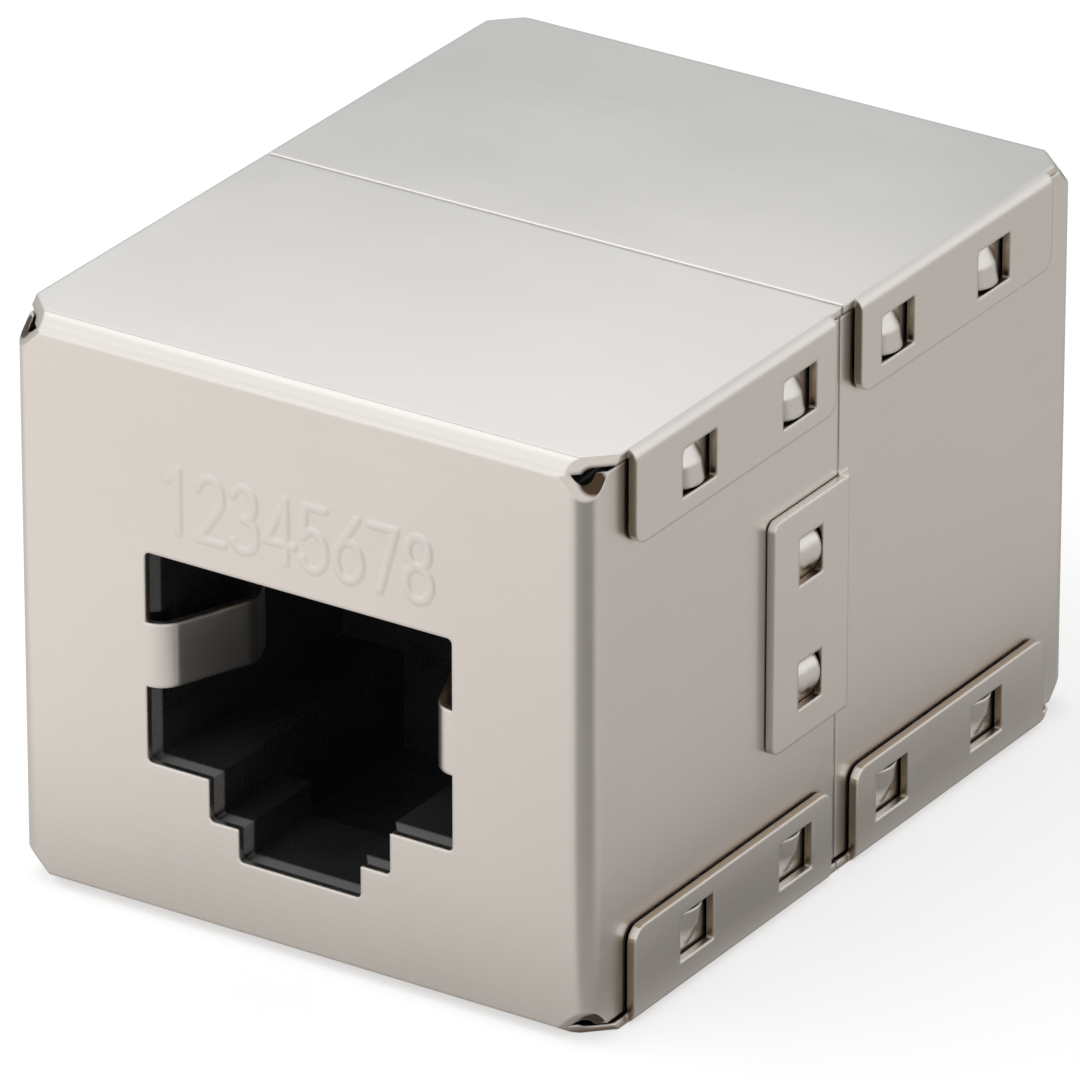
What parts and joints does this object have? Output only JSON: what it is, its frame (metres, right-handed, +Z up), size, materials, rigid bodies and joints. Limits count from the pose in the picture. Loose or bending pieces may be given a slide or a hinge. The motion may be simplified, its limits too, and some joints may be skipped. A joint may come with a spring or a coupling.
{
  "type": "rj45 inline coupler",
  "caption": "Shielded box coupler that joins two network cables end to end: a keyed socket in each end face of a folded metal case with lanced snap latches along its sides.",
  "frame": {"origin": "middle of the coupler's underside, on the surface it rests on", "axes": "+Z up, +Y from the front socket to the rear one, +X across"},
  "size_m": [0.0236, 0.0308, 0.021],
  "materials": {
    "shell": "satin nickel plate with fine brushing across the plates",
    "housing": "black moulded, slight sheen",
    "carrier": "black moulded, matt",
    "contact": "gold plated wire",
    "board": "green solder mask"
  },
  "bodies": {
    "root": {"front_shell": "shell", "front_jack_housing": "housing", "front_contact_carrier": "carrier", "front_contact_1": "contact", "front_contact_2": "contact", "front_contact_3": "contact", "front_contact_4": "contact", "front_contact_5": "contact", "front_contact_6": "contact", "front_contact_7": "contact", "front_contact_8": "contact", "rear_shell": "shell", "rear_jack_housing": "housing", "rear_contact_carrier": "carrier", "rear_contact_1": "contact", "rear_contact_2": "contact", "rear_contact_3": "contact", "rear_contact_4": "contact", "rear_contact_5": "contact", "rear_contact_6": "contact", "rear_contact_7": "contact", "rear_contact_8": "contact", "circuit_board": "board"}
  },
  "joints": []
}
